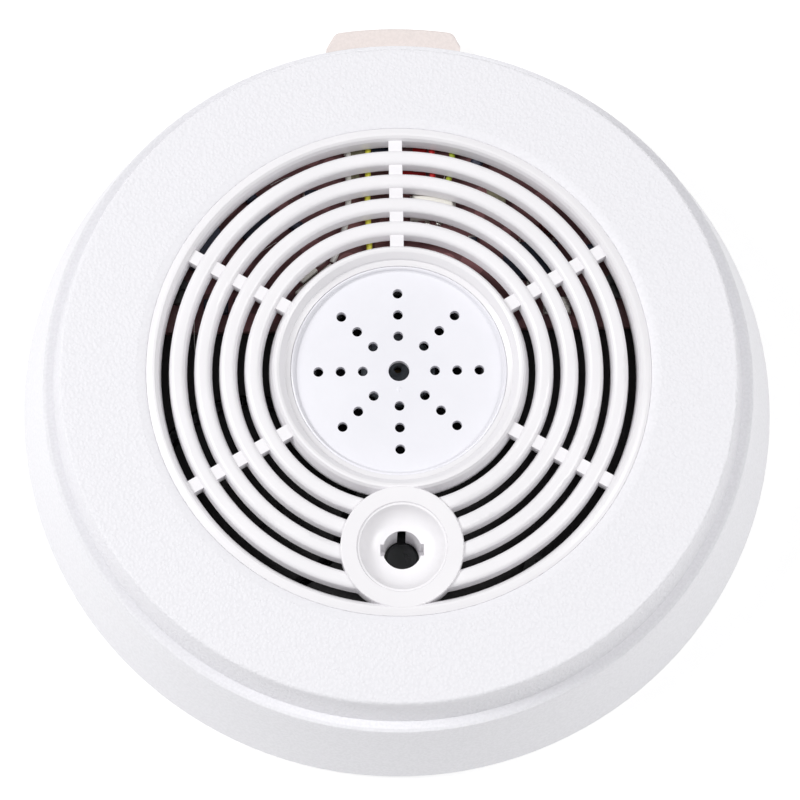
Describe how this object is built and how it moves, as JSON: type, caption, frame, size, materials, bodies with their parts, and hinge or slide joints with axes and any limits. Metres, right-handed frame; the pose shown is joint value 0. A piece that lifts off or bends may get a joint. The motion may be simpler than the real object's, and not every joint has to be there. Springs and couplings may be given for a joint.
{
  "type": "smoke detector",
  "caption": "Round ceiling smoke detector with a ringed grille, recessed test button, central sounder, twist-off bracket and slide-out battery drawer.",
  "frame": {"origin": "centre of the mounting bracket's flat back face", "axes": "+Z out of the wall or ceiling towards the front grille, +Y towards the pull tab of the battery drawer, -Y towards the test button"},
  "size_m": [0.1404, 0.1447, 0.0291],
  "materials": {
    "shell_plastic": "fine moulded texture, matt white",
    "textured_plastic": "leather-grain moulded texture, matt white",
    "grille_plastic": "smooth satin white",
    "cap_plastic": "smooth satin white with a cool grey tone",
    "drawer_plastic": "satin white, slightly warm",
    "bracket_plastic": "satin white",
    "black_plastic": "matt black",
    "grey_plastic": "satin dark grey",
    "button_plastic": "smooth black",
    "board": "dark red-brown solder mask, semi-gloss",
    "chip_plastic": "matt epoxy",
    "capacitor_body": "glazed ochre",
    "connector_plastic": "satin off-white nylon",
    "led_red": "clear red lens",
    "tinted_lens": "dark tinted lens",
    "yellow_insulation": "satin PVC",
    "white_insulation": "satin PVC",
    "red_insulation": "satin PVC",
    "green_insulation": "satin PVC",
    "brass_disc": "brushed",
    "foam_seal": "closed-cell foam",
    "steel_mesh": "fine woven mesh",
    "plated_steel": "nickel plated",
    "spring_steel": "drawn wire",
    "screw_steel": "zinc plated",
    "black_screw": "black phosphate",
    "cell_can": "plain printed sleeve, satin"
  },
  "bodies": {
    "bracket": {"mounting_bracket": "bracket_plastic"},
    "head": {"base_shell": "shell_plastic", "front_cover": "textured_plastic", "grille": "grille_plastic", "sounder_cap": "cap_plastic", "dust_seal": "foam_seal", "horn_case": "black_plastic", "piezo_disc": "brass_disc", "horn_baffle": "black_plastic", "horn_cap": "grey_plastic", "chassis": "black_plastic", "main_board": "board", "chamber_base": "black_plastic", "labyrinth": "black_plastic", "chamber_mesh": "steel_mesh", "chamber_cap": "black_plastic", "ir_emitter": "tinted_lens", "photodiode": "tinted_lens", "switch_board": "board", "test_switch": "black_plastic", "button_spring": "spring_steel", "controller_chip": "chip_plastic", "sounder_driver": "chip_plastic", "filter_capacitor": "capacitor_body", "crystal": "plated_steel", "sensor_plug": "connector_plastic", "resistor_1": "chip_plastic", "resistor_2": "chip_plastic", "resistor_3": "chip_plastic", "resistor_4": "chip_plastic", "diode": "chip_plastic", "horn_inductor": "chip_plastic", "status_led": "led_red", "wire_header": "connector_plastic", "wire_plug": "connector_plastic", "lead_yellow": "yellow_insulation", "lead_white": "white_insulation", "lead_red": "red_insulation", "lead_green": "green_insulation", "contact_negative": "plated_steel", "contact_positive": "plated_steel", "cover_screw_1": "screw_steel", "cover_screw_2": "screw_steel", "cover_screw_3": "screw_steel", "cover_screw_4": "screw_steel", "board_screw_1": "black_screw", "board_screw_2": "black_screw", "board_screw_3": "black_screw"},
    "drawer": {"battery_drawer": "drawer_plastic", "battery_cell_left": "cell_can", "battery_cell_right": "cell_can", "cell_link": "plated_steel"},
    "button": {"test_button": "button_plastic"}
  },
  "joints": [
    {"name": "head_twist", "type": "hinge", "parent": "bracket", "child": "head", "pos_m": [0, 0, 0], "axis": [0, 0, 1], "range_deg": [0, 25]},
    {"name": "drawer_slide", "type": "slide", "parent": "head", "child": "drawer", "axis": [0, 1, 0], "range_m": [0, 0.034]},
    {"name": "button_press", "type": "slide", "parent": "head", "child": "button", "axis": [0, 0, -1], "range_m": [0, 0.0011], "stiffness_N_per_m": 400, "springref_m": -0.001, "deforming": ["button_spring"]}
  ]
}
